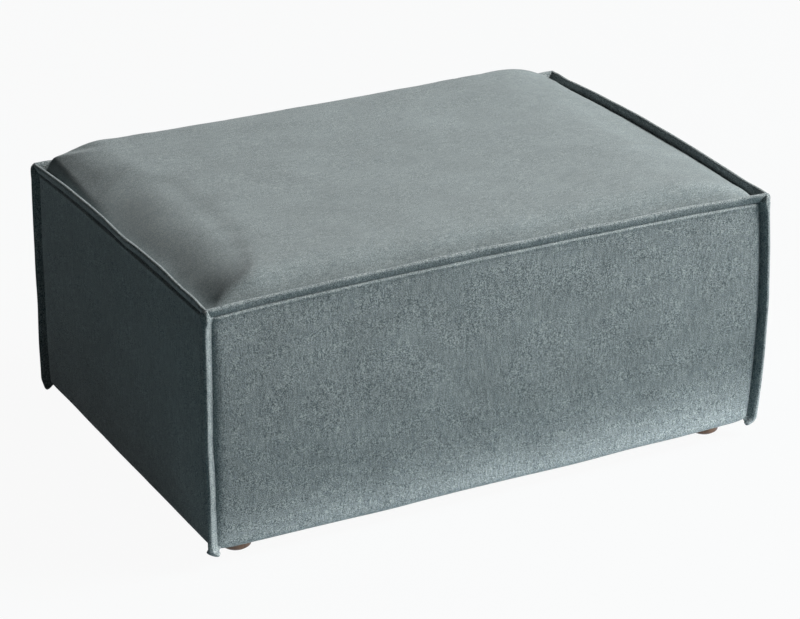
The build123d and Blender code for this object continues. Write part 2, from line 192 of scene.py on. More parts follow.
def faceOutwards(piece):
    # all faces turned the same way, outwards
    bpy.context.view_layer.objects.active = piece
    for other in bpy.context.selected_objects:
        other.select_set(False)
    piece.select_set(True)
    bpy.ops.object.mode_set(mode="EDIT")
    bpy.ops.mesh.select_all(action="SELECT")
    bpy.ops.mesh.normals_make_consistent(inside=False)
    bpy.ops.object.mode_set(mode="OBJECT")


def applyModifiers(piece):
    graph = bpy.context.evaluated_depsgraph_get()
    finished = bpy.data.meshes.new_from_object(piece.evaluated_get(graph), depsgraph=graph)
    finished.name = piece.name
    piece.modifiers.clear()
    piece.data = finished


def creaseRim(piece, rows, columns):
    # keeps the rims of a slab sharp when it is subdivided
    count = rows * columns
    rim = set()
    for start in (0, count):
        for c in range(columns):
            rim |= {start + c, start + (rows - 1) * columns + c}
        for r in range(rows):
            rim |= {start + r * columns, start + r * columns + columns - 1}
    crease = piece.data.attributes.new("crease_edge", "FLOAT", "EDGE")
    for edge in piece.data.edges:
        if edge.vertices[0] in rim and edge.vertices[1] in rim:
            crease.data[edge.index].value = 1.0


def linear(hexColour):
    # sRGB hex to the linear values that the shaders take
    channels = [int(hexColour[i : i + 2], 16) / 255 for i in (1, 3, 5)]
    return [c / 12.92 if c <= 0.04045 else ((c + 0.055) / 1.055) ** 2.4 for c in channels] + [1.0]


def addNode(tree, kind, settings=None, links=None):
    node = tree.nodes.new("ShaderNode" + kind)
    for name, value in (settings or {}).items():
        if isinstance(name, int) or name in node.inputs:
            node.inputs[name].default_value = value
        else:
            setattr(node, name, value)
    for name, source in (links or {}).items():
        tree.links.new(source, node.inputs[name])
    return node


def newMaterial(name):
    material = bpy.data.materials.new(name)
    material.use_nodes = True
    material.node_tree.nodes.clear()
    return material, material.node_tree


# Woven chenille velvet: short fibres cut from a yarn of several greys. The eye gets a fine speckle, soft
# streaks along the nap and a pale sheen where the surface turns away.
chenille = {
    "body": "#798587",
    "dark": "#414B50",
    "light": "#B6BFC0",
    "blue": "#6F7B86",
    "fleck": 1.25,  # mm, yarn tufts: the real ones are about 1 mm, drawn a little coarser so that they show
    "fleckShare": 0.84,  # how much of the speckle they make
    "streakShare": 0.16,  # and how much the streaks do
    "streakAcross": 3.2,  # mm
    "streakAlong": 15.0,  # mm
    "mottle": 70.0,  # mm, where the nap lies differently
    "roughness": 0.95,
    "ior": 1.45,
    "sheen": 0.35,
    "sheenRoughness": 0.45,
    "sheenTint": "#C9D2D6",
    "relief": 0.6,  # mm, height of the tufts
}


def chenilleVelvet(name, nap, contrast):
    # nap: the axis that the streaks run along, 0, 1 or 2; contrast: how strongly the yarn's greys show
    material, tree = newMaterial(name)
    place = addNode(tree, "TexCoord").outputs["Object"]
    perMetre = 1 / millimetre
    streakScale = [perMetre / chenille["streakAcross"]] * 3
    streakScale[nap] = perMetre / chenille["streakAlong"]
    streakPlace = addNode(tree, "Mapping", {"Scale": streakScale}, {"Vector": place}).outputs[0]
    streak, fleck, tint, mottle = (
        addNode(tree, "TexNoise", settings, {"Vector": source}).outputs["Fac"]
        for settings, source in (
            ({"Scale": 1.0, "Detail": 2.0, "Roughness": 0.55}, streakPlace),
            ({"Scale": perMetre / chenille["fleck"], "Detail": 2.0, "Roughness": 0.65}, place),
            ({"Scale": perMetre / (4 * chenille["fleck"]), "Detail": 3.0, "Roughness": 0.6}, place),
            ({"Scale": perMetre / chenille["mottle"], "Detail": 2.0}, place),
        )
    )
    shares = {"operation": "MULTIPLY", 1: chenille["streakShare"]}
    streaked = addNode(tree, "Math", shares, {0: streak}).outputs[0]
    shares = {"operation": "MULTIPLY_ADD", 1: chenille["fleckShare"]}
    yarn = addNode(tree, "Math", shares, {0: fleck, 2: streaked})
    heather = addNode(tree, "ValToRGB", None, {"Fac": yarn.outputs[0]})
    ramp = heather.color_ramp
    ramp.elements[0].position, ramp.elements[0].color = 0.40, linear(chenille["dark"])
    ramp.elements[1].position, ramp.elements[1].color = 0.60, linear(chenille["light"])
    middle = ramp.elements.new(0.5)
    middle.color = linear(chenille["body"])
    bluish = addNode(tree, "MapRange", {"From Min": 0.52, "From Max": 0.72, "To Max": 0.45}, {"Value": tint})
    coloured = addNode(
        tree,
        "Mix",
        {"data_type": "RGBA", 7: linear(chenille["blue"])},
        {0: bluish.outputs[0], 6: heather.outputs["Color"]},
    )
    calmed = addNode(
        tree,
        "Mix",
        {"data_type": "RGBA", 0: contrast, 6: linear(chenille["body"])},
        {7: coloured.outputs[2]},
    )
    napShade = addNode(
        tree,
        "MapRange",
        {"From Min": 0.3, "From Max": 0.7, "To Min": 0.93, "To Max": 1.07},
        {"Value": mottle},
    )
    shaded = addNode(
        tree, "VectorMath", {"operation": "SCALE"}, {0: calmed.outputs[2], "Scale": napShade.outputs[0]}
    )
    relief = addNode(
        tree,
        "Bump",
        {"Strength": 0.8, "Distance": chenille["relief"] * millimetre},
        {"Height": yarn.outputs[0]},
    )
    cloth = addNode(
        tree,
        "BsdfPrincipled",
        {
            "Roughness": chenille["roughness"],
            "IOR": chenille["ior"],
            "Sheen Weight": chenille["sheen"],
            "Sheen Roughness": chenille["sheenRoughness"],
            "Sheen Tint": linear(chenille["sheenTint"]),
        },
        {"Base Color": shaded.outputs[0], "Normal": relief.outputs[0]},
    )
    addNode(tree, "OutputMaterial", None, {"Surface": cloth.outputs[0]})
    return material


# Beech feet, turned, stained dark walnut and lacquered satin: fine upright grain with short dark pores.
walnutStain = {
    "dark": "#2E1B12",
    "light": "#60452F",
    "grain": 2.4,  # mm, across the grain
    "run": 26.0,  # mm, along it
    "pore": 0.6,  # mm
    "roughness": 0.42,
    "coat": 0.35,
}
# Planed softwood: pale, with soft brown growth rings along the length.
softwood = {
    "dark": "#B58B57",
    "light": "#DDBD8C",
    "grain": 5.0,
    "run": 160.0,
    "pore": 1.2,
    "roughness": 0.65,
    "coat": 0.0,
}


def sawnWood(name, wood, axis):
    # axis: the one that the grain runs along, 0, 1 or 2
    material, tree = newMaterial(name)
    place = addNode(tree, "TexCoord").outputs["Object"]
    scale = [1 / (wood["grain"] * millimetre)] * 3
    scale[axis] = 1 / (wood["run"] * millimetre)
    along = addNode(tree, "Mapping", {"Scale": scale}, {"Vector": place}).outputs[0]
    grain = addNode(
        tree,
        "TexNoise",
        {"Scale": 1.0, "Detail": 5.0, "Roughness": 0.62, "Distortion": 0.4},
        {"Vector": along},
    )
    poreScale = [1 / (wood["pore"] * millimetre)] * 3
    poreScale[axis] = 1 / (0.25 * wood["run"] * millimetre)
    poreAlong = addNode(tree, "Mapping", {"Scale": poreScale}, {"Vector": place}).outputs[0]
    pores = addNode(tree, "TexNoise", {"Scale": 1.0, "Detail": 2.0}, {"Vector": poreAlong})
    depth = addNode(tree, "MapRange", {"From Min": 0.55, "From Max": 0.75}, {"Value": pores.outputs["Fac"]})
    colour = addNode(tree, "ValToRGB", None, {"Fac": grain.outputs["Fac"]})
    colour.color_ramp.elements[0].position, colour.color_ramp.elements[0].color = 0.34, linear(wood["dark"])
    colour.color_ramp.elements[1].position, colour.color_ramp.elements[1].color = 0.66, linear(wood["light"])
    pored = addNode(
        tree,
        "Mix",
        {"data_type": "RGBA", 7: linear(wood["dark"])},
        {0: depth.outputs[0], 6: colour.outputs["Color"]},
    )
    relief = addNode(
        tree,
        "Bump",
        {"Strength": 0.35, "Distance": 0.1 * millimetre, "invert": True},
        {"Height": depth.outputs[0]},
    )
    surface = addNode(
        tree,
        "BsdfPrincipled",
        {"Roughness": wood["roughness"], "IOR": 1.5, "Coat Weight": wood["coat"], "Coat Roughness": 0.3},
        {"Base Color": pored.outputs[2], "Normal": relief.outputs[0]},
    )
    addNode(tree, "OutputMaterial", None, {"Surface": surface.outputs[0]})
    return material


# Other finishes: dark and light colour, size of their grain in mm, roughness, metallic, relief in mm
finishes = {
    # hardboard: pressed wood fibre, brown and even, with fine dark fibres
    "hardboard": ("#5A3F28", "#80603F", 1.5, 0.6, 0.0, 0.1),
    # zinc-plated steel: bright bluish grey, faintly blotched by the plating
    "zincPlatedSteel": ("#9FA3A6", "#C3C7CA", 6.0, 0.35, 1.0, 0.02),
    # galvanised staple wire: duller and greyer
    "galvanisedWire": ("#8B8D8F", "#B0B2B4", 2.0, 0.45, 1.0, 0.02),
    # needled wool felt: dark and matted, no highlights
    "needledFelt": ("#25221F", "#4A4540", 1.2, 0.97, 0.0, 0.4),
    # spun-bonded polypropylene: thin black cloth with rows of pressed dots
    "spunBondedCloth": ("#0E0E10", "#26262A", 1.6, 0.8, 0.0, 0.15),
    # elastic webbing: grey polyester threads over rubber, ribbed across
    "elasticWebbing": ("#2A2A2C", "#5E5E62", 2.2, 0.85, 0.0, 0.3),
}


def grainedFinish(name):
    dark, light, pattern, roughness, metallic, depth = finishes[name]
    material, tree = newMaterial(name)
    place = addNode(tree, "TexCoord").outputs["Object"]
    perMetre = 1 / (pattern * millimetre)
    if name == "spunBondedCloth":
        dots = addNode(tree, "TexVoronoi", {"Scale": perMetre, "Randomness": 0.15}, {"Vector": place})
        grain = dots.outputs["Distance"]
    elif name == "elasticWebbing":
        ribs = addNode(
            tree,
            "TexWave",
            {"Scale": perMetre / 6, "Distortion": 0.4, "bands_direction": "DIAGONAL"},
            {"Vector": place},
        )
        grain = ribs.outputs["Fac"]
    else:
        fibres = addNode(tree, "TexNoise", {"Scale": perMetre, "Detail": 4.0}, {"Vector": place})
        grain = fibres.outputs["Fac"]
    colour = addNode(tree, "ValToRGB", None, {"Fac": grain})
    colour.color_ramp.elements[0].position, colour.color_ramp.elements[0].color = 0.3, linear(dark)
    colour.color_ramp.elements[1].position, colour.color_ramp.elements[1].color = 0.7, linear(light)
    relief = addNode(tree, "Bump", {"Strength": 0.6, "Distance": depth * millimetre}, {"Height": grain})
    surface = addNode(
        tree,
        "BsdfPrincipled",
        {"Roughness": roughness, "Metallic": metallic},
        {"Base Color": colour.outputs["Color"], "Normal": relief.outputs[0]},
    )
    addNode(tree, "OutputMaterial", None, {"Surface": surface.outputs[0]})
    return material


velvetUpright = chenilleVelvet("chenilleVelvetUpright", nap=2, contrast=1.0)
velvetSeat = chenilleVelvet("chenilleVelvetSeat", nap=0, contrast=0.5)
webbingFinish = grainedFinish("elasticWebbing")
clothFinish = grainedFinish("spunBondedCloth")
print("materials made")


# Seat cushion

seat = {
    "reachX": 0.4615,  # half sizes of the top panel, to the flanges' roots
    "reachY": 0.3115,
    "top": 0.4490,
    # how far the cloth stands up beside the flanges at the front left, front right, back right and back left
    "edgeRise": (-0.0010, 0.0030, 0.0035, 0.0250),
    "edgeRound": 0.006,
    # how far in from the short edges the crown is up: in the middle, at the front end and at the back end
    "left": (0.096, 0.078, 0.085),
    "right": (0.270, 0.150, 0.130),
    "leftPower": 1.6,  # the higher, the steeper the slope begins at the edge
    "rightPower": 3,
    "front": 0.028,
    "back": 0.024,
    "backRisePower": 3,  # the higher, the nearer to the back the cloth begins to stand up as it does there
    "bottom": 0.305,
    "spacing": 0.008,
    "waves": 0.0009,
    "calmRim": 0.06,  # the waves fade out this near to the edges
    "pressure": 4.0,
    "cap": 0.003,
}


def endShoulder(distance, reaches, power, placeY):
    # the slope of the crown at a short edge, 0 at the seam and 1 where it is up
    middle, front, back = reaches
    reach = middle + (np.where(placeY < 0, front, back) - middle) * np.abs(placeY) ** 2
    return 1 - (1 - np.clip(distance / reach, 0, 1)) ** power


def makeSeat():
    columns = 2 * round(seat["reachX"] / seat["spacing"]) + 1
    rows = 2 * round(seat["reachY"] / seat["spacing"]) + 1
    placeY, placeX = np.meshgrid(np.linspace(-1, 1, rows), np.linspace(-1, 1, columns), indexing="ij")
    x, y = placeX * seat["reachX"], placeY * seat["reachY"]
    rimDistance = np.minimum(seat["reachX"] - np.abs(x), seat["reachY"] - np.abs(y))
    # the seams that bound it, blended over the panel
    shares = {"front": placeX, "right": placeY, "back": -placeX, "left": -placeY}
    nearness = {
        "front": (1 - placeY) / 2,
        "right": (1 + placeX) / 2,
        "back": (1 + placeY) / 2,
        "left": (1 - placeX) / 2,
    }
    push, rise = {}, {}
    for name, share in shares.items():
        push[name], rise[name] = upperSeam(name, share)
    x = x + push["right"] * nearness["right"] - push["left"] * nearness["left"]
    y = y + push["back"] * nearness["back"] - push["front"] * nearness["front"]
    weights = {name: 1 / (1.0001 - nearness[name]) ** 2 for name in shares}
    riseHere = sum(rise[name] * weights[name] for name in shares) / sum(weights.values())
    atRight, atBack = nearness["right"], nearness["back"] ** seat["backRisePower"]
    frontLeft, frontRight, backRight, backLeft = seat["edgeRise"]
    edgeRise = (frontLeft * (1 - atRight) + frontRight * atRight) * (1 - atBack)
    edgeRise = edgeRise + (backLeft * (1 - atRight) + backRight * atRight) * atBack
    edge = seams["z"] + riseHere + edgeRise * lip(rimDistance, seat["edgeRound"])
    fromX, fromY = seat["reachX"] * (1 + placeX), seat["reachY"] * (1 + placeY)
    toX, toY = seat["reachX"] * (1 - placeX), seat["reachY"] * (1 - placeY)
    leftEnd = endShoulder(fromX, seat["left"], seat["leftPower"], placeY)
    rightEnd = endShoulder(toX, seat["right"], seat["rightPower"], placeY)
    crown = leftEnd * rightEnd * lip(fromY, seat["front"]) * lip(toY, seat["back"])
    calm = lip(rimDistance, seat["calmRim"])
    waves = seat["waves"] * calm * (drift2(x, y, 0.16, 0.12, 3) + 0.6 * drift2(x, y, 0.07, 0.05, 8))
    z = edge + (seat["top"] - edge) * crown + waves
    outer = np.stack([x, y, z], axis=-1)
    boardX, boardY = seams["x"] - seams["padDepth"], seams["y"] - seams["padDepth"]
    inner = np.stack([placeX * boardX, placeY * boardY, np.full_like(x, seat["bottom"])], axis=-1)
    piece = slabPiece("seat_cushion", outer, inner, velvetSeat)
    return piece, rows, columns


# Side panels with their padding

sidePads = {
    "gap": 0.0046,  # from the corner seam line to the panel's end, under the corner flange
    "tuck": 0.0045,  # how far the cloth is drawn in at its seams
    "lift": 0.0022,  # and how far it stands out beside them
    "sideRound": 0.016,
    "topRound": 0.003,
    "roll": 0.0012,  # thin ridge where the seam allowance lies under the cloth
    "rollDrop": 0.003,  # how far under the seam it lies, and how wide it is
    "bulge": 0.0150,
    "lowCornerRise": 0.005,
    "lowCornerRound": 0.030,
    "sag": 0.004,  # how far the lower edge hangs between the corners
    "mitreGap": 0.004,  # between the strips of two sides under the frame
    "seamRows": (0, 0.0010, 0.0022, 0.0036, 0.0055, 0.0080),  # the rows just under the seam lie close
    "evenFrom": 0.0125,  # below it the rows are evenly spaced
    "curlRows": 8,
    "underRows": 5,
    "spacing": 0.008,
    "waves": 0.0007,
    "calmDrop": 0.04,  # they are full this far under the seam
    "edgeWaves": 0.0012,  # of the lower edge
    "pressure": 4.0,
    "cap": 0.004,
}


def makeSidePad(name, turn, halfLength, plane, seed):
    pad = sidePads
    columns = 2 * round(halfLength / pad["spacing"]) + 1
    faceRows = round((seams["z"] - seams["bottom"] - seams["curlHeight"]) / pad["spacing"])
    curlRows, underRows = pad["curlRows"], pad["underRows"]
    reach = halfLength - pad["gap"]
    board = plane - seams["padDepth"]
    curlZ = seams["bottom"] + seams["curlHeight"]
    # columns are closer together near the corner seams
    share = np.linspace(-1, 1, columns)
    share = np.sign(share) * (1 - (1 - np.abs(share)) ** 1.25)
    endDistance = reach * (1 - np.abs(share))
    first, last = (corners[end] for end in sideEnds[name])
    seamOut, seamUp = upperSeam(name, share)
    evenRows = np.linspace(pad["evenFrom"], seams["z"] - curlZ, faceRows - 2)
    face = np.concatenate([pad["seamRows"], evenRows])
    outer, inner = [], []
    bulgeAlong = np.sqrt(np.clip(1 - np.abs(share) ** 4, 0, 1))
    sideLip = lip(endDistance, pad["sideRound"])
    lowRise = pad["lowCornerRise"] * (1 - lip(endDistance, pad["lowCornerRound"]))
    lowRise = lowRise - pad["sag"] * bulgeAlong
    innerReach = halfLength - seams["padDepth"]
    for drop in face:
        upDown = drop / (seams["z"] - curlZ)
        height = seams["z"] + seamUp * (1 - smooth(upDown)) - drop
        straightHeight = seams["z"] - drop
        startPush, farPush = cornerPush(first[3], straightHeight), cornerPush(last[3], straightHeight)
        endPush = np.where(share < 0, startPush, farPush) / math.sqrt(2)
        along = share * (reach + endPush)
        # in the middle of the side: from the seam's bow to the full bulge, and half as full at the curl
        bulge = seamOut + (pad["bulge"] - seamOut) * math.sin(0.5 * math.pi * min(1, 2 * upDown))
        bulge = bulge - 0.5 * pad["bulge"] * max(0, 2 * upDown - 1) ** 2
        out = endPush + (bulge - endPush) * bulgeAlong
        edge = (pad["tuck"] + pad["lift"]) * sideLip * lip(drop, pad["topRound"]) - pad["tuck"]
        edge = edge + pad["roll"] * sideLip * math.exp(-(((drop - pad["rollDrop"]) / pad["rollDrop"]) ** 2))
        waves = pad["waves"] * sideLip * smooth(drop / pad["calmDrop"]) * (
            drift2(along, height, 0.13, 0.10, seed) + 0.5 * drift2(along, height, 0.05, 0.16, seed + 5)
        )
        out = plane + edge + out + waves
        outer.append((along, out, height))
    lastOut = outer[-1][1]
    for step in range(1, curlRows + 1):
        angle = 0.5 * math.pi * step / curlRows
        edgeWaves = pad["edgeWaves"] * drift(along, 0.11, seed + 11) * sideLip * math.sin(angle)
        low = seams["bottom"] + lowRise + edgeWaves
        target = plane - seams["curlTuck"]
        out = target + (lastOut - target) * math.cos(angle) ** 0.9
        height = curlZ - (curlZ - low) * math.sin(angle)
        outer.append((along, out, height))
    low = outer[-1][2]
    start = outer[-1][1]
    end = board - seams["returnWidth"]
    for step in range(1, underRows + 1):
        part = step / underRows
        out = start + (end - start) * part
        mitred = np.sign(along) * np.minimum(np.abs(along), halfLength - (plane - out) - pad["mitreGap"])
        outer.append((mitred, out, low + (seams["bottom"] - low) * smooth(part * 2)))
    rows = len(outer)
    topRows = len(face) + curlRows
    # the inside goes down the board and then in under the frame
    for row in range(rows):
        down = min(1, row / (topRows - 1))
        inwards = seams["returnWidth"] * max(0, row - topRows + 1) / underRows
        out = np.full_like(along, board - inwards)
        height = np.full_like(along, seams["z"] + (seams["frameBottom"] - seams["z"]) * down)
        inner.append((share * (innerReach - inwards), out, height))
    outerPoints = np.array([sideToWorld(turn, a, o, h) for a, o, h in outer])
    innerPoints = np.array([sideToWorld(turn, a, o, h) for a, o, h in inner])
    piece = slabPiece(name + "_side_pad", outerPoints, innerPoints, velvetUpright)
    return piece, rows, columns


# Swelling of the padded pieces by cloth simulation

swellFrames = 20


def startSwelling(piece, rows, columns, pressure):
    # only the outside moves: its rim is sewn, and the inside lies on the frame
    held = list(range(rows * columns, 2 * rows * columns))
    for r in range(rows):
        held += [r * columns + c for c in range(columns) if r in (0, rows - 1) or c in (0, columns - 1)]
    sewn = piece.vertex_groups.new(name="sewn")
    sewn.add(held, 1.0, "REPLACE")
    cloth = piece.modifiers.new("Cloth", "CLOTH")
    cloth.settings.quality = 5
    cloth.settings.mass = 0.3
    cloth.settings.tension_stiffness = 15
    cloth.settings.compression_stiffness = 15
    cloth.settings.shear_stiffness = 5
    cloth.settings.bending_stiffness = 0.6
    cloth.settings.use_pressure = True
    cloth.settings.uniform_pressure_force = pressure
    cloth.settings.shrink_min = -0.006  # the cloth is cut a little larger than the foam
    cloth.settings.effector_weights.gravity = 0
    cloth.settings.vertex_group_mass = "sewn"
    cloth.collision_settings.use_collision = False
    cloth.collision_settings.use_self_collision = False
    cloth.point_cache.frame_start = 1
    cloth.point_cache.frame_end = swellFrames


def endSwelling(piece, cap):
    # keeps the swollen shape, with the movement of each point held under the cap
    before = np.array([v.co for v in piece.data.vertices])
    graph = bpy.context.evaluated_depsgraph_get()
    after = np.array([v.co for v in piece.evaluated_get(graph).data.vertices])
    move = after - before
    length = np.linalg.norm(move, axis=1, keepdims=True)
    kept = before + move * (cap * np.tanh(length / cap) / np.maximum(length, 1e-9))
    piece.modifiers.clear()
    piece.vertex_groups.clear()
    piece.data.vertices.foreach_set("co", kept.astype(np.float32).ravel())
    piece.data.update()
    print(piece.name, "swelled by up to", round(1000 * float(length.max()), 1), "mm, capped at", 1000 * cap)


def subdivide(piece, rows, columns):
    creaseRim(piece, rows, columns)
    finer = piece.modifiers.new("Subdivision", "SUBSURF")
    finer.levels = 1
    finer.render_levels = 1
    applyModifiers(piece)


padded = [makeSeat() + (seat,)]
for number, (name, turn, halfLength, plane) in enumerate(sides):
    padded.append(makeSidePad(name, turn, halfLength, plane, 20 + 3 * number) + (sidePads,))
for piece, rows, columns, values in padded:
    faceOutwards(piece)
print("padded pieces drawn")

for piece, rows, columns, values in padded:
    startSwelling(piece, rows, columns, values["pressure"])
for number in range(1, swellFrames + 1):
    bpy.context.scene.frame_set(number)
for piece, rows, columns, values in padded:
    endSwelling(piece, values["cap"])
bpy.context.scene.frame_set(1)
for piece, rows, columns, values in padded:
    subdivide(piece, rows, columns)
    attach(piece, "root")
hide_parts("cover_top_panel", "fibre_wrap", "seat_foam")
for name, turn, halfLength, plane in sides:
    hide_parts("cover_" + name + "_panel", "foam_pad_" + name)
print("padded pieces finished")


# Raised flange seams

flanges = {
    "width": 0.015,
    "thickness": 0.007,
    "waist": 0.0046,  # where the stitches pull the fold together
    "root": 0.011,  # hidden part, between the panels
    "lean": 14,  # degrees outwards, of the upper ones
    "cornerLean": 28,  # and at the corners
    "cornerRun": 0.050,  # over which they change
    "cornerLonger": 0.20,
    "bend": 0.0025,  # radius that the upper ones turn the corner with
    "bendSteps": 6,
    "spacing": 0.005,
    # how unevenly they are sewn: sideways, lean in degrees, height, shares of the length and the thickness
    "sway": 0.0007,
    "leanWander": 5,
    "heightWander": 0.0003,
    "longWander": 0.035,
    "thickWander": 0.06,
}


def flangeSection():
    # (out, across) points round the fold: up one flank, over the crest, down the other
    fold = flanges
    waist, half = fold["waist"] / 2, fold["thickness"] / 2
    flank = [
        (-fold["root"], waist),
        (-0.002, waist),
        (0.0005, waist),
        (0.0018, waist * 1.12),
        (0.0036, half * 0.93),
        (0.006, half),
        (0.009, half * 1.02),
    ]
    crestFrom = fold["width"] - half * 1.05
    crest = [
        (crestFrom + half * 1.05 * math.sin(angle), half * math.cos(angle))
        for angle in np.linspace(0.08 * math.pi, 0.92 * math.pi, 9)
    ]
    flank.append((crestFrom, half))
    return np.array(flank + crest + [(out, -across) for out, across in reversed(flank)])


def sweepFlange(name, roots, outs, downs, acrosses, longScale, thickScale, material):
    # outs: the way the blade stands out; downs: the way its hidden root goes in, with its share of it
    section = flangeSection()
    blade, hidden = np.clip(section[:, 0], 0, None), -np.clip(section[:, 0], None, 0)
    rings = []
    for root, out, down, across, long, thick in zip(roots, outs, downs, acrosses, longScale, thickScale):
        lengthwise = np.outer(blade * long, out) + np.outer(hidden, down)
        rings.append(root + lengthwise + np.outer(section[:, 1] * thick, across))
    around = len(section)
    points = np.concatenate(rings)
    faces = tubeFaces(len(rings), around)
    # strip across each end, so that the ends are closed without one large face
    half = around // 2
    for start in (0, (len(rings) - 1) * around):
        for step in range(half):
            a, b, c, d = start + step, start + step + 1, start + around - 2 - step, start + around - 1 - step
            faces.append((a, b, c, d) if b != c else (a, b, d))
    piece = newPiece(name, points, faces, material)
    faceOutwards(piece)
    return piece


def makeTopFlange(name, turn, halfLength, plane, seed):
    fold = flanges
    flush = fold["thickness"] / 2 / math.cos(math.radians(fold["lean"]))
    endOut = upperSeam(name, np.array([-1.0, 1.0]))[0] - flush
    # it runs straight, then bends round each corner to meet its neighbour on the diagonal
    first, last = halfLength + endOut - fold["bend"]
    along = np.linspace(-first, last, 2 * round(halfLength / fold["spacing"]) + 1)
    out = plane - flush + upperSeam(name, along / np.where(along < 0, first, last))[0]
    turns = np.radians(np.linspace(45 / fold["bendSteps"], 45, fold["bendSteps"]))
    onwards, inwards = fold["bend"] * np.sin(turns), fold["bend"] * (1 - np.cos(turns))
    startX, startOut = -first - onwards[::-1], out[0] - inwards[::-1]
    endX, lastOut = last + onwards, out[-1] - inwards
    heading = np.concatenate([turns[::-1], np.arctan(np.gradient(out, along)), -turns])
    along = np.concatenate([startX, along, endX])
    out = np.concatenate([startOut, out, lastOut])
    share = np.clip(along / np.where(along < 0, first, last), -1, 1)
    toEnd = np.where(along < 0, first + along, last - along)
    nearEnd = smooth(1 - np.clip(toEnd, 0, None) / fold["cornerRun"])
    calm = 1 - nearEnd
    out = out + fold["sway"] * drift(along, 0.075, seed) * calm
    lean = fold["lean"] + fold["leanWander"] * drift(along, 0.11, seed + 2) * calm
    straightLean = np.radians(lean)
    lean = np.radians(lean + (fold["cornerLean"] - fold["lean"]) * nearEnd)
    # round the bend it reaches further out, so that both crests run straight on to the corner
    reachOut, reachUp = np.sin(lean) / np.cos(heading), np.cos(lean)
    mitreLonger = np.hypot(reachOut, reachUp)
    lean = np.arctan2(reachOut, reachUp)
    height = seams["z"] + upperSeam(name, share)[1]
    height = height + fold["heightWander"] * drift(along, 0.06, seed + 4) * calm
    roots = sideToWorld(turn, along, out, height)
    leanOut, leanUp = np.sin(lean), np.cos(lean)
    outs = sideToWorld(turn, leanOut * -np.sin(heading), leanOut * np.cos(heading), leanUp)
    rootOut, rootUp = -np.sin(straightLean), -np.cos(straightLean)
    downs = sideToWorld(turn, rootOut * -np.sin(heading), rootOut * np.cos(heading), rootUp)
    acrosses = sideToWorld(turn, leanUp * -np.sin(heading), leanUp * np.cos(heading), -leanOut)
    longScale = 1 + fold["longWander"] * drift(along, 0.09, seed + 6) * calm
    longScale = (longScale + fold["cornerLonger"] * nearEnd) * mitreLonger
    thickScale = 1 + fold["thickWander"] * drift(along, 0.05, seed + 8) * calm
    pieceName = "flange_seam_top_" + name
    return sweepFlange(pieceName, roots, outs, downs, acrosses, longScale, thickScale, velvetUpright)


cornerFlanges = {
    "thicker": 1.2,
    "shorter": 0.72,  # of the upper ones' width
    "headFlare": 1.8,
    "headRun": 0.013,
    "headHeight": 0.0145,  # above the seam, up into the upper flanges
    "headRound": 0.008,
    "headRoot": 0.006,  # its inner edge starts this far in from the corner line
    "headRootRise": 0.002,  # and comes in over this height
    "headRootShare": 0.15,  # of the hidden root that is left there
    "headTop": 0.9,  # share of the thickness at the very top
    "headSteps": 9,
    "curlRadius": 0.015,
    "curlTurn": 55,  # degrees that the foot of the seam turns under
    "footFlare": 2.7,
    "footRun": 0.014,
    "footSteps": 9,
    "footStep": 0.0027,  # length of cloth in each
    "bladeTurn": 0.75,  # share of the turn under that the blade takes part in
    "spacing": 0.005,
    "straightFrom": 0.05,  # the seam sways between these heights
    "straightTo": 0.40,
    "straightFade": 0.05,
    "riseFrom": 0.25,  # and is drawn up from here
    "riseRun": 0.15,
    "sway": 0.0010,
    "longWander": 0.05,
}


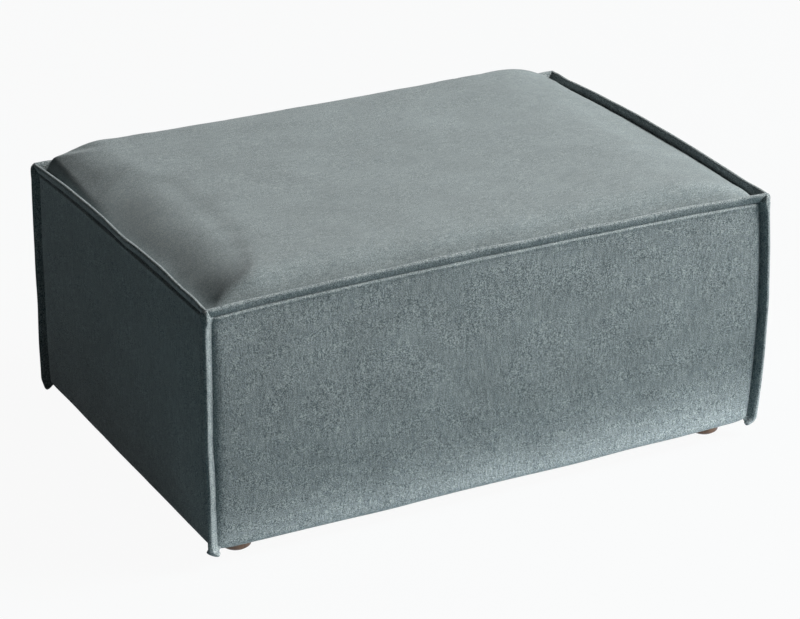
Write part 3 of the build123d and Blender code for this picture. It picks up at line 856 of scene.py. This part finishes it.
def makeCornerFlange(name, xSide, ySide, pushes, rise, bent, seed):
    fold = cornerFlanges
    curlZ = seams["bottom"] + seams["curlHeight"]
    outX, outY = xSide / math.sqrt(2), ySide / math.sqrt(2)
    heading = math.atan2(outY, outX) + math.radians(bent)
    bladeX, bladeY = math.cos(heading), math.sin(heading)
    acrossX, acrossY = -bladeY, bladeX
    stations = []  # inwards, height, turn under; shares of the length, thickness and root
    for step in range(fold["footSteps"]):
        turnUnder = math.radians(fold["curlTurn"]) * (1 - step / fold["footSteps"])
        inwards = fold["curlRadius"] * (1 - math.cos(turnUnder))
        height = curlZ - fold["curlRadius"] * math.sin(turnUnder)
        near = smooth(1 - step * fold["footStep"] / fold["footRun"])
        flare = 1 + (fold["footFlare"] - 1) * float(near)
        stations.append((inwards, height, turnUnder * fold["bladeTurn"], 1.0, flare, 1.0))
    first = stations[0]
    # two more stations close the tip, each a little further under, shorter and thinner
    tips = [
        (first[0] + 0.0022, first[1] - 0.0024, first[2] + 0.10, 0.62, first[4] * 0.55, 1.0),
        (first[0] + 0.0012, first[1] - 0.0016, first[2] + 0.06, 0.86, first[4] * 0.88, 1.0),
    ]
    stations = tips + stations
    for height in np.linspace(curlZ, seams["z"], round((seams["z"] - curlZ) / fold["spacing"])):
        flare = 1 + (fold["headFlare"] - 1) * float(smooth(1 - (seams["z"] - height) / fold["headRun"]))
        stations.append((0.0, height, 0.0, 1.0, flare, 1.0))
    # above the seam the blade stands between the middle of the upper flanges and its own rounded outer edge
    steep = math.sqrt(2) * math.tan(math.radians(flanges["cornerLean"]))
    leastLong = 0.1  # so that no ring of points falls together
    for above in fold["headHeight"] * np.linspace(0, 1, fold["headSteps"] + 1)[1:]:
        inwards = fold["headRoot"] * min(1, above / fold["headRootRise"]) - above * steep
        intoRound = max(0, above - fold["headHeight"] + fold["headRound"])
        tip = flanges["width"] - fold["headRound"] + math.sqrt(fold["headRound"] ** 2 - intoRound**2)
        long = max(leastLong, (tip * fold["shorter"] + inwards) / flanges["width"] / fold["shorter"])
        flare = fold["headFlare"] - (fold["headFlare"] - fold["headTop"]) * (above / fold["headHeight"]) ** 2
        stations.append((inwards, seams["z"] + above, 0.0, long, flare, fold["headRootShare"]))
    heights = np.array([station[1] for station in stations])
    aboveFoot = smooth((heights - fold["straightFrom"]) / fold["straightFade"])
    straightShare = aboveFoot * smooth((fold["straightTo"] - heights) / fold["straightFade"])
    sway = fold["sway"] * drift(heights, 0.085, seed) * straightShare
    breadth = 1 + fold["longWander"] * drift(heights, 0.07, seed + 3) * straightShare
    bowed = cornerPush(pushes, heights)
    risen = rise * smooth((heights - fold["riseFrom"]) / fold["riseRun"])
    roots, outs, downs, acrosses, longScale, thickScale = [], [], [], [], [], []
    for station, side, wide, push, up in zip(stations, sway, breadth, bowed, risen):
        inwards, height, turnUnder, long, thick, rootShare = station
        x = xSide * seams["x"] + outX * (push - inwards) + acrossX * side
        y = ySide * seams["y"] + outY * (push - inwards) + acrossY * side
        roots.append((x, y, height + up))
        out = np.array((bladeX * math.cos(turnUnder), bladeY * math.cos(turnUnder), -math.sin(turnUnder)))
        outs.append(out)
        downs.append(-out * rootShare)
        acrosses.append((acrossX, acrossY, 0.0))
        longScale.append(long * wide * fold["shorter"])
        thickScale.append(thick * fold["thicker"])
    pieceName = "flange_seam_corner_" + name
    roots, acrosses = np.array(roots), np.array(acrosses)
    return sweepFlange(pieceName, roots, outs, downs, acrosses, longScale, thickScale, velvetUpright)


for number, (name, turn, halfLength, plane) in enumerate(sides):
    piece = makeTopFlange(name, turn, halfLength, plane, 40 + 9 * number)
    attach(piece, "root")
    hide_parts("flange_top_" + name)
for number, (name, xSide, ySide, pushes, rise, bent) in enumerate(corners):
    piece = makeCornerFlange(name, xSide, ySide, pushes, rise, bent, 90 + 7 * number)
    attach(piece, "root")
    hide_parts("flange_corner_" + name)
print("flange seams made")


# Cloth under the frame

dustCloth = {
    "sag": 0.0035,
    "spacing": 0.012,
    "scallop": 0.0012,  # how far the edge draws in between the staples
    "staplePitch": 0.074,
    "edge": 0.985,  # share of the half depth where the edge begins
    "footX": 0.418,  # the feet hold it up, this far from the middle
    "footY": 0.276,
    "footReach": 0.07,
}


def makeDustCloth():
    low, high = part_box("dust_cloth")
    columns = round((high.x - low.x) / dustCloth["spacing"])
    rows = round((high.y - low.y) / dustCloth["spacing"])
    placeY, placeX = np.meshgrid(np.linspace(-1, 1, rows), np.linspace(-1, 1, columns), indexing="ij")
    x, y = placeX * high.x, placeY * high.y
    # it hangs a little between the feet
    free = (1 - placeX**6) * (1 - placeY**6)
    besideX = (np.abs(x) - dustCloth["footX"]) / dustCloth["footReach"]
    besideY = (np.abs(y) - dustCloth["footY"]) / dustCloth["footReach"]
    nearFoot = np.exp(-(besideX**2) - besideY**2)
    sag = dustCloth["sag"] * free * (1 - nearFoot) * (1 + 0.3 * drift2(x, y, 0.2, 0.15, 5))
    pull = dustCloth["scallop"] * np.abs(np.sin(math.pi * x / dustCloth["staplePitch"]))
    y = y - np.sign(placeY) * pull * (np.abs(placeY) > dustCloth["edge"])
    bottom = np.stack([x, y, low.z - sag], axis=-1)
    top = np.stack([x, y, high.z - sag], axis=-1)
    piece = slabPiece("bottom_cloth", bottom, top, clothFinish)
    faceOutwards(piece)
    return piece, (high.x - low.x, high.y - low.y)


bottomCloth, bottomSize = makeDustCloth()
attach(bottomCloth, "root")
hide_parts("dust_cloth")
print("bottom cloth made")


# Seat deck: woven straps and the cloth over them

deck = {
    "strapWidth": 0.060,
    "strapThickness": 0.0012,
    # across a strap: share of its width from the middle, and share of its thickness there
    "strapEdges": ((-0.5, 0.6), (-0.48, 1.0), (0.48, 1.0), (0.5, 0.6)),
    "strapLevel": 0.3016,  # height of the middle of the weave
    "weave": 0.0008,  # how far a strap rises and dips
    "crossingRun": 0.035,
    "stations": 121,  # along a strap
    "longCount": 8,
    "shortCount": 4,
    "clothThickness": 0.0007,
    "clothPoints": (61, 41),
    "clothDip": 0.0003,
}


def strapGrid(places, crossings, reach, parity, acrossX):
    # straps that pass over and under the crossing ones by turns
    points, faces = [], []
    stations = deck["stations"]
    for number, place in enumerate(places):
        run = np.linspace(-reach, reach, stations)
        height = np.full(stations, deck["strapLevel"])
        for order, crossing in enumerate(crossings):
            side = 1 if (number + order + parity) % 2 else -1
            height = height + side * deck["weave"] * np.exp(-(((run - crossing) / deck["crossingRun"]) ** 2))
        outer, inner = [], []
        for edge, thickShare in deck["strapEdges"]:
            width = np.full(stations, place + edge * deck["strapWidth"])
            thin = 0.5 * deck["strapThickness"] * thickShare
            pair = (run, width) if acrossX else (width, run)
            outer.append(np.stack([pair[0], pair[1], height + thin], axis=-1))
            inner.append(np.stack([pair[0], pair[1], height - thin], axis=-1))
        faces += slabFaces(4, stations, len(points) * 8 * stations)
        points.append(np.concatenate([np.array(outer).reshape(-1, 3), np.array(inner).reshape(-1, 3)]))
    return np.concatenate(points), faces


def strapPlaces(node, count, axis):
    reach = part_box(node)[1][axis] - deck["strapWidth"] / 2
    return np.linspace(-reach, reach, count)


def makeStraps():
    longPlaces = strapPlaces("webbing_front_to_back", deck["longCount"], 0)
    shortPlaces = strapPlaces("webbing_side_to_side", deck["shortCount"], 1)
    for node, places, crossings, parity, acrossX in (
        ("webbing_front_to_back", longPlaces, shortPlaces, 0, False),
        ("webbing_side_to_side", shortPlaces, longPlaces, 1, True),
    ):
        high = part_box(node)[1]
        reach = high.x if acrossX else high.y
        points, faces = strapGrid(places, crossings, reach, parity, acrossX)
        piece = newPiece("woven_" + node, points, faces, webbingFinish)
        faceOutwards(piece)
        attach(piece, "root")
        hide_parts(node)


def makeDeckCloth():
    low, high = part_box("deck_cloth")
    columns, rows = deck["clothPoints"]
    placeY, placeX = np.meshgrid(np.linspace(-1, 1, rows), np.linspace(-1, 1, columns), indexing="ij")
    free = (1 - placeX**4) * (1 - placeY**4)
    dip = deck["clothDip"] * free * (1 + drift2(placeX, placeY, 0.3, 0.3, 9))
    x, y = placeX * high.x, placeY * high.y
    top = np.stack([x, y, high.z - dip], axis=-1)
    bottom = np.stack([x, y, high.z - deck["clothThickness"] - dip], axis=-1)
    piece = slabPiece("seat_deck_cloth", top, bottom, clothFinish)
    faceOutwards(piece)
    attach(piece, "root")
    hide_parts("deck_cloth")


makeStraps()
makeDeckCloth()
print("seat deck made")


# Finishes of the pieces that stay as they are

timber = [sawnWood("planedSoftwood" + axis, softwood, number) for number, axis in enumerate("XYZ")]
stained = sawnWood("stainedWalnutBeech", walnutStain, 2)
plain = {
    "hardboard": grainedFinish("hardboard"),
    "zinc_steel": grainedFinish("zincPlatedSteel"),
    "steel_wire": grainedFinish("galvanisedWire"),
    "felt": grainedFinish("needledFelt"),
    "stained_wood": stained,
}


# Timber whose grain runs along X and along Y; in the rest it stands upright
grainAlongX = ("front_lower", "front_upper", "back_lower", "back_upper", "foot_block")
grainAlongY = ("left_lower", "left_upper", "right_lower", "right_upper", "cross_rails", "corner_braces")


def finishFor(node, slotName):
    if slotName != "frame_timber":
        return plain.get(slotName)
    if node.startswith(grainAlongX):
        return timber[0]
    return timber[1] if node.startswith(grainAlongY) else timber[2]


for entry in frame["record"]["subparts"]:
    node = frame["nodes"][entry["node"]]
    finish = finishFor(entry["node"], entry["material_slot"])
    if finish is None or node.hide_render:
        continue
    if not node.material_slots:
        node.data.materials.append(finish)
    for slot in node.material_slots:
        slot.material = finish
print("wood and metal finished")


# Camera, light and floor

camera = {
    "lens": 128.5,  # mm
    "sensor": 36,  # mm
    "azimuth": -27.76,  # degrees from the front, towards the left
    "elevation": 23.93,
    "distance": 4.6018,
    "centre": (0, 0, 0.2225),
    "right": 0.005366,  # moved sideways and up, so that the ottoman lies where it does in the picture
    "up": -0.028756,
}


def makeCamera():
    a, e = math.radians(camera["azimuth"]), math.radians(camera["elevation"])
    back = Vector((math.sin(a) * math.cos(e), -math.cos(a) * math.cos(e), math.sin(e)))
    right = Vector((math.cos(a), math.sin(a), 0))
    up = back.cross(right)
    data = bpy.data.cameras.new("studioCamera")
    data.lens = camera["lens"]
    data.sensor_width = camera["sensor"]
    eye = bpy.data.objects.new("studioCamera", data)
    bpy.context.scene.collection.objects.link(eye)
    place = Vector(camera["centre"]) + right * camera["right"] + up * camera["up"]
    place = place + back * camera["distance"]
    turn = Matrix((right, up, back)).transposed()
    eye.matrix_world = Matrix.Translation(place) @ turn.to_4x4()
    bpy.context.scene.camera = eye


lamps = {
    # place, aimed at, width and depth, watts, spread in degrees, tint
    "key": ((5.2, -1.9, 4.9), (0.0, 0.0, 0.35), (2.4, 2.4), 690, 180, "#FFFBF7"),
    "fill": ((4.4, -3.4, 3.4), (0.0, 0.0, 0.35), (2.0, 2.0), 185, 180, "#FFFFFF"),
    # a narrow one along the floor, which lights the lower edge
    "low": ((1.2, -2.7, 0.30), (0.15, -0.33, -0.05), (1.4, 0.1), 1.35, 7, "#FFFFFF"),
}


def makeLamps():
    for name, (place, aim, size, watts, spread, tint) in lamps.items():
        data = bpy.data.lights.new(name + "Softbox", "AREA")
        data.shape = "RECTANGLE"
        data.size, data.size_y = size
        data.energy = watts
        data.spread = math.radians(spread)
        data.color = linear(tint)[:3]
        lamp = bpy.data.objects.new(name + "Softbox", data)
        lamp.location = place
        lamp.rotation_euler = (Vector(aim) - Vector(place)).to_track_quat("-Z", "Y").to_euler()
        bpy.context.scene.collection.objects.link(lamp)


studio = {"ambient": 0.005, "floorColour": "#7A9096", "floorSize": 6.0, "whiteShare": 0.94}


def seenDirectly(tree):
    # 1 for what the camera, a mirror or glass shows, 0 for light on the object
    path = addNode(tree, "LightPath")
    seen = path.outputs["Is Camera Ray"]
    for ray in ("Is Glossy Ray", "Is Transmission Ray"):
        seen = addNode(
            tree, "Math", {"operation": "MAXIMUM"}, {0: seen, 1: path.outputs[ray]}
        ).outputs[0]
    return seen


def makeStudio():
    world = bpy.data.worlds.new("studioAir")
    bpy.context.scene.world = world
    world.use_nodes = True
    tree = world.node_tree
    tree.nodes.clear()
    strength = addNode(
        tree, "MapRange", {"To Min": studio["ambient"], "To Max": 1.0}, {"Value": seenDirectly(tree)}
    )
    air = addNode(tree, "Background", {"Color": (1, 1, 1, 1)}, {"Strength": strength.outputs[0]})
    addNode(tree, "OutputWorld", None, {"Surface": air.outputs[0]})
    material, tree = newMaterial("paintedFloor")
    paint = addNode(tree, "BsdfDiffuse", {"Color": linear(studio["floorColour"])})
    white = addNode(tree, "Emission", {"Color": (1, 1, 1, 1), "Strength": 1.0})
    share = addNode(
        tree, "Math", {"operation": "MULTIPLY", 1: studio["whiteShare"]}, {0: seenDirectly(tree)}
    )
    mixed = addNode(tree, "MixShader", None, {0: share.outputs[0], 1: paint.outputs[0], 2: white.outputs[0]})
    addNode(tree, "OutputMaterial", None, {"Surface": mixed.outputs[0]})
    size = studio["floorSize"]
    floorCorners = [(-size, -size, 0), (size, -size, 0), (size, size, 0), (-size, size, 0)]
    floor = newPiece("studio_floor", floorCorners, [(0, 1, 2, 3)], material)


makeCamera()
makeLamps()
makeStudio()
bpy.context.scene.view_settings.view_transform = "Standard"
print("camera, light and floor ready")
